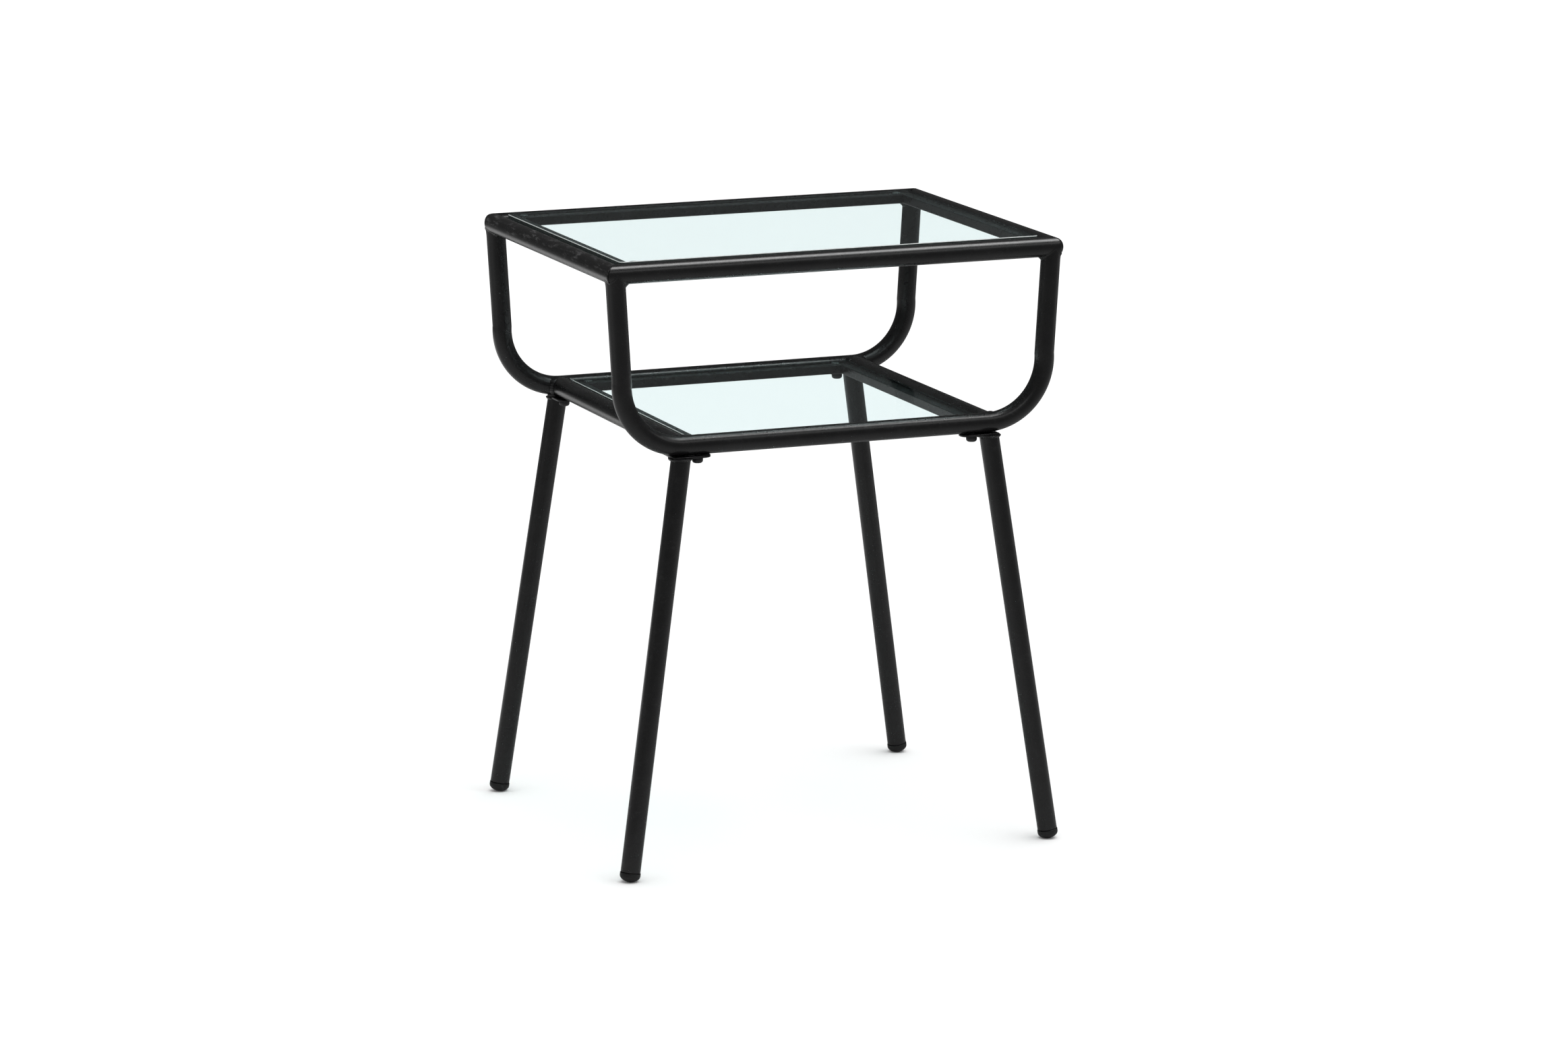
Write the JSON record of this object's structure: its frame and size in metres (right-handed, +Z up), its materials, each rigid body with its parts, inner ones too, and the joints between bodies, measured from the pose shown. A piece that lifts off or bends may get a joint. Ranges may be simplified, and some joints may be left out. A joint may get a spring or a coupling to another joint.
{
  "type": "side table",
  "caption": "Rectangular side table in black tubular steel, with splayed legs, a drop-in glass top and a glass shelf below.",
  "frame": {"origin": "on the floor, under the middle of the table", "axes": "+Z up, +X to the table's right along its long side, +Y to its back"},
  "size_m": [0.468, 0.3916, 0.5893],
  "materials": {
    "black_paint": "satin",
    "float_glass": "polished",
    "black_rubber": "matte",
    "clear_pad": "satin",
    "bolt_steel": "satin",
    "nut_steel": "satin"
  },
  "bodies": {
    "frame": {"top_rail_front": "black_paint", "top_rail_back": "black_paint", "top_rail_left": "black_paint", "top_rail_right": "black_paint", "top_ledge_front": "black_paint", "top_ledge_back": "black_paint", "top_ledge_left": "black_paint", "top_ledge_right": "black_paint", "u_frame_front": "black_paint", "u_frame_back": "black_paint", "shelf_rail_left": "black_paint", "shelf_rail_right": "black_paint", "shelf_ledge_front": "black_paint", "shelf_ledge_back": "black_paint", "shelf_ledge_left": "black_paint", "shelf_ledge_right": "black_paint", "leg_front_left": "black_paint", "leg_front_right": "black_paint", "leg_back_left": "black_paint", "leg_back_right": "black_paint", "plate_front_left": "black_paint", "plate_front_right": "black_paint", "plate_back_left": "black_paint", "plate_back_right": "black_paint", "foot_front_left": "black_rubber", "foot_front_right": "black_rubber", "foot_back_left": "black_rubber", "foot_back_right": "black_rubber", "top_pad_front_left": "clear_pad", "top_pad_front_right": "clear_pad", "top_pad_back_left": "clear_pad", "top_pad_back_right": "clear_pad", "shelf_pad_front_left": "clear_pad", "shelf_pad_front_right": "clear_pad", "shelf_pad_back_left": "clear_pad", "shelf_pad_back_right": "clear_pad", "bolt_front_left_a": "bolt_steel", "bolt_front_left_b": "bolt_steel", "bolt_front_right_a": "bolt_steel", "bolt_front_right_b": "bolt_steel", "bolt_back_left_a": "bolt_steel", "bolt_back_left_b": "bolt_steel", "bolt_back_right_a": "bolt_steel", "bolt_back_right_b": "bolt_steel", "nut_front_left_a": "nut_steel", "nut_front_left_b": "nut_steel", "nut_front_right_a": "nut_steel", "nut_front_right_b": "nut_steel", "nut_back_left_a": "nut_steel", "nut_back_left_b": "nut_steel", "nut_back_right_a": "nut_steel", "nut_back_right_b": "nut_steel"},
    "top_pane": {"top_glass": "float_glass"},
    "shelf_pane": {"shelf_glass": "float_glass"}
  },
  "joints": [
    {"name": "top_glass_lift", "type": "slide", "parent": "frame", "child": "top_pane", "axis": [0, 0, 1], "range_m": [0, 0.06]},
    {"name": "shelf_glass_lift", "type": "slide", "parent": "frame", "child": "shelf_pane", "axis": [0, 0, 1], "range_m": [0, 0.06]}
  ]
}
